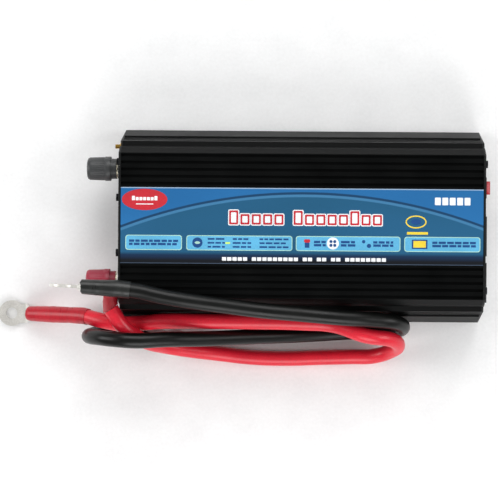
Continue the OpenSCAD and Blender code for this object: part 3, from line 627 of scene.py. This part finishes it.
def printed_oval(x, y, rx, ry, top, inner=0.0):
    """A raised oval of ink, or a ring of the width that inner leaves."""
    clear_selection()
    low = LABEL_HIGH.z - PRINT_LOW * MM
    bpy.ops.mesh.primitive_circle_add(vertices=64, radius=1, fill_type="NGON",
                                      location=(CASE_X + x * MM, y * MM, low))
    oval = bpy.context.object
    oval.scale = (rx * MM, ry * MM, 1)
    bpy.ops.object.transform_apply(location=True, rotation=True, scale=True)
    bpy.ops.object.mode_set(mode="EDIT")
    bpy.ops.mesh.select_all(action="SELECT")
    if inner:
        bpy.ops.mesh.inset(thickness=inner * MM)
        bpy.ops.mesh.delete(type="FACE")
        bpy.ops.mesh.select_all(action="SELECT")
    bpy.ops.mesh.extrude_region_move(TRANSFORM_OT_translate={"value": (0, 0, (top + PRINT_LOW) * MM)})
    bpy.ops.mesh.select_all(action="SELECT")
    bpy.ops.mesh.normals_make_consistent(inside=False)
    bpy.ops.object.mode_set(mode="OBJECT")
    return oval


def word_blocks(x0, x1, y0, y1, counts, top, grow=0.0, tall=None, corner=0.0):
    """Blocks in place of words: counts gives each one's blocks, tall says which are high, grow widens them."""
    letters = sum(counts)
    pitch = (x1 - x0) / (letters + WORD_GAP * (len(counts) - 1))
    margin = BLOCK_MARGIN * pitch
    made, x, index = [], x0, 0
    for count in counts:
        for _ in range(count):
            high = y1 if tall is None or tall[index] else y0 + (y1 - y0) * LOW_BLOCK
            made.append(printed(x + margin - grow, x + pitch - margin + grow, y0 - grow, high + grow, top,
                                corner + grow * 0.6, 2))
            x += pitch
            index += 1
        x += WORD_GAP * pitch
    return made


def print_title(prints):
    """Title: red rings with a white edge and a white middle."""
    prints["white"] += word_blocks(*TITLE, TITLE_WORDS, FIRST_INK, 0.9, TITLE_TALL, 0.8)
    prints["red"] += word_blocks(*TITLE, TITLE_WORDS, TITLE_INK, 0.0, TITLE_TALL, 0.8)
    prints["white"] += word_blocks(*TITLE, TITLE_WORDS, TOP_INK, -1.7, TITLE_TALL, 1.5)


def print_badge_and_caption(prints):
    """Oval badge at the left, figures and a plain ring at the right, and the caption along the dark band."""
    white, yellow = prints["white"], prints["yellow"]
    prints["red"].append(printed_oval(-141.3, 23.1, 20.4, 9.6, BADGE_INK))
    white += word_blocks(-153, -129.5, 22.3, 26.2, [7], BADGE_WORD_INK, 0.0, [1, 0, 0, 0, 0, 0, 1], 0.3)
    white.append(printed(-149, -133.5, 18.6, 19.4, BADGE_WORD_INK))
    white += word_blocks(118.4, 151.6, 19.8, 26.6, [5], FIRST_INK, 0.0, None, 0.5)
    yellow.append(printed_oval(102.3, 4.6, 9.4, 5.8, FIRST_INK, 1.1))
    prints["dark"].append(printed_oval(102.3, 4.6, 4.6, 2.6, FIRST_INK))
    yellow.append(printed(94.2, 113, -6.7, -4.4, FIRST_INK))
    white += word_blocks(-72, 76, -31.3, -28.1, [5, 9, 2, 2, 2, 8], FIRST_INK, 0.0, None, 0.2)


def print_fields(prints):
    """Four rounded fields with rows of small print."""
    draw = random.Random(7)
    for left, right in FIELDS:
        prints["pale"].append(printed(left, right, FIELD_FOOT, FIELD_HEAD, RIM_INK, 2.4, 6))
        prints["fields"].append(printed(left + FIELD_RIM, right - FIELD_RIM, FIELD_FOOT + FIELD_RIM,
                                        FIELD_HEAD - FIELD_RIM, FIELD_INK, 1.9, 6))
    for left, right, rows in SMALL_PRINT:
        pitch, half = (2.9, 1.05) if rows == 2 else (3.515, 0.8)
        for row in range(rows):
            middle = SMALL_PRINT_Y + pitch * ((rows - 1) / 2 - row)
            x = left
            while x < right - 2:
                width = min(draw.uniform(3, 8), right - x)
                prints["dark"].append(printed(x, x + width, middle - half, middle + half, SMALL_INK))
                x += width + 1.1


def print_pictures(prints):
    """Small pictures in the fields: a ring, a bar, a lamp, a fan, two dots and a box."""
    dark = prints["dark"]
    dark.append(printed_oval(-93.7, -15.3, 4.6, 4.6, SMALL_INK))
    prints["pale"].append(printed_oval(-93.7, -15.3, 2.4, 1.2, TOP_INK))
    prints["green"].append(printed(-68.6, -64.4, -16.3, -14.7, SMALL_INK, 0.3, 2))
    prints["red"].append(printed(2.0, 7.4, -14.6, -11.6, SMALL_INK, 0.9, 2))
    dark.append(printed(2.6, 6.8, -19.2, -14.6, SMALL_INK, 0.3, 2))
    fan_x, fan_y = 27.8, -15.2
    prints["white"].append(printed_oval(fan_x, fan_y, 5.4, 5.4, SMALL_INK))
    for turn in range(4):
        way = math.radians(45 + 90 * turn)
        dark.append(printed_oval(fan_x + 2.4 * math.cos(way), fan_y + 2.4 * math.sin(way), 1.4, 1.4, DOT_INK))
    dark.append(printed_oval(55.4, -13.4, 1.5, 1.5, SMALL_INK))
    dark.append(printed_oval(60.2, -17.2, 1.9, 1.9, SMALL_INK))
    dark.append(printed(98.6, 112.6, -19.6, -11.2, SMALL_INK, 0.4, 2))
    prints["yellow"].append(printed(100, 111.2, -18.4, -12.4, TOP_INK))


class InverterLabel(bpy.types.Operator):
    """Printed film on the top: arc, title blocks, badge, captions and pictures"""

    bl_idname = "inverter.label"
    bl_label = "Label"

    def execute(self, context):
        chosen = settings()
        dress(["name_label"], label_film(chosen.label_blue, chosen.label_bright, "#123F64", "#3F7BA6"))
        prints = {"white": [], "red": [], "pale": [], "fields": [], "dark": [], "yellow": [], "green": []}
        print_title(prints)
        print_badge_and_caption(prints)
        print_fields(prints)
        print_pictures(prints)
        for name, colour in (
            ("white", "#E9EDF2"), ("red", "#B92833"), ("pale", "#A5CFC0"), ("fields", "#5AA9CF"),
            ("dark", "#17467E"), ("yellow", "#E8C83C"), ("green", "#C6E86A"),
        ):
            whole = settle(joined(prints[name]), "print_" + name, ink(name, colour), smooth=0)
            belongs(whole, "case", "label_film")
        return {"FINISHED"}


# ---------------------------------------------------------------- lugs and sleeves


def pinch(tube, mouth, reach):
    """Flattens a tube's mouth over a lug's neck that stands on edge; it is round again after reach."""
    for vertex in tube.data.vertices:
        share = MOUTH_FLAT + (1 - MOUTH_FLAT) * min(max((vertex.co.x - mouth.x) / reach, 0), 1)
        vertex.co.y = mouth.y + (vertex.co.y - mouth.y) * share


def shrunk(name, points, radii, finish, slot, *replaced):
    """A shrunk tube along points on the leads, in mm, with a radius in mm at each, and small swellings."""
    draw = random.Random(len(name))
    fine, wide = [], []
    for (a, b), (r1, r2) in zip(zip(points, points[1:]), zip(radii, radii[1:])):
        for t in (0, 0.25, 0.5, 0.75):
            fine.append(on_leads([p + (q - p) * t for p, q in zip(a, b)]))
            wide.append((r1 + (r2 - r1) * t) * (1 + draw.uniform(-SWELLING, SWELLING)))
    fine.append(on_leads(points[-1]))
    wide.append(radii[-1])
    tube = as_mesh(tube_curve(name, fine, MM, wide, resolution=4))
    only(tube)
    bpy.ops.object.mode_set(mode="EDIT")
    bpy.ops.mesh.select_all(action="SELECT")
    bpy.ops.mesh.remove_doubles(threshold=0.00001)
    bpy.ops.mesh.normals_make_consistent(inside=False)
    bpy.ops.object.mode_set(mode="OBJECT")
    settle(tube, name, finish, smooth=50)
    belongs(tube, "case", slot, *replaced)
    return tube


class InverterEndings(bpy.types.Operator):
    """Ring lugs and shrunk sleeves at the four ends of the leads"""

    bl_idname = "inverter.endings"
    bl_label = "Lugs and sleeves"

    def execute(self, context):
        lugs = ["black_battery_lug", "black_post_lug", "red_battery_lug", "red_post_lug"]
        dress(lugs, tinned_copper(), 0.3)
        red = shrink_tube("polyolefin_red", "#A81222", "#C41C2E")
        black = shrink_tube("polyolefin_black", "#131413", "#232523")
        dress(["black_post_sleeve"], black, 0.3)
        dress(["red_post_sleeve"], red, 0.3)
        tube = shrunk("black_battery_tube",
                      [BLACK_MOUTH, (-31, -55.3, 92.2), (-24, -55.7, 92.2), (-12, -56.3, 92.2),
                       (2, -57, 92.2), (12, -58.1, 92.2)],
                      [8.0, 6.6, 6.8, 7.2, 7.9, 7.7], black, "black_sleeve", "black_battery_sleeve")
        pinch(tube, on_leads(BLACK_MOUTH), MOUTH_REACH * MM)
        shrunk("red_battery_tube",
               [(-90.4, -83.5, 7.5), (-88, -83.6, 8.6), (-80, -83.7, 12.2), (-66, -83.8, 18.2),
                (-50, -83.9, 25.2), (-37, -84.2, 31.0), (-32, -85.1, 33.6)],
               [6.4, 6.9, 7.3, 7.7, 7.4, 7.8, 7.6], red, "red_sleeve", "red_battery_sleeve")
        return {"FINISHED"}


STEPS = [
    InverterStage, InverterEndings, InverterLeads, InverterCase, InverterPosts, InverterEnds, InverterInside,
    InverterLabel,
]


class InverterPanel(bpy.types.Panel):
    """Lists the making steps in the sidebar"""

    bl_idname = "VIEW3D_PT_inverter"
    bl_label = "Power inverter"
    bl_space_type = "VIEW_3D"
    bl_region_type = "UI"
    bl_category = "Inverter"

    def draw(self, context):
        for name in ("label_blue", "label_bright", "lead_red", "lead_black", "lead_d", "edge", "light"):
            self.layout.prop(context.scene.inverter, name)
        for step in STEPS:
            self.layout.operator(step.bl_idname)


def register():
    """Registers the settings, the operators and the panel."""
    for cls in [InverterSettings, *STEPS, InverterPanel]:
        bpy.utils.register_class(cls)
    bpy.types.Scene.inverter = bpy.props.PointerProperty(type=InverterSettings)


def unregister():
    """Takes them away again."""
    del bpy.types.Scene.inverter
    for cls in reversed([InverterSettings, *STEPS, InverterPanel]):
        bpy.utils.unregister_class(cls)


def main():
    """Makes every step in order."""
    register()
    for step in STEPS:
        area, name = step.bl_idname.split(".")
        getattr(getattr(bpy.ops, area), name)()


if __name__ == "__main__":
    main()
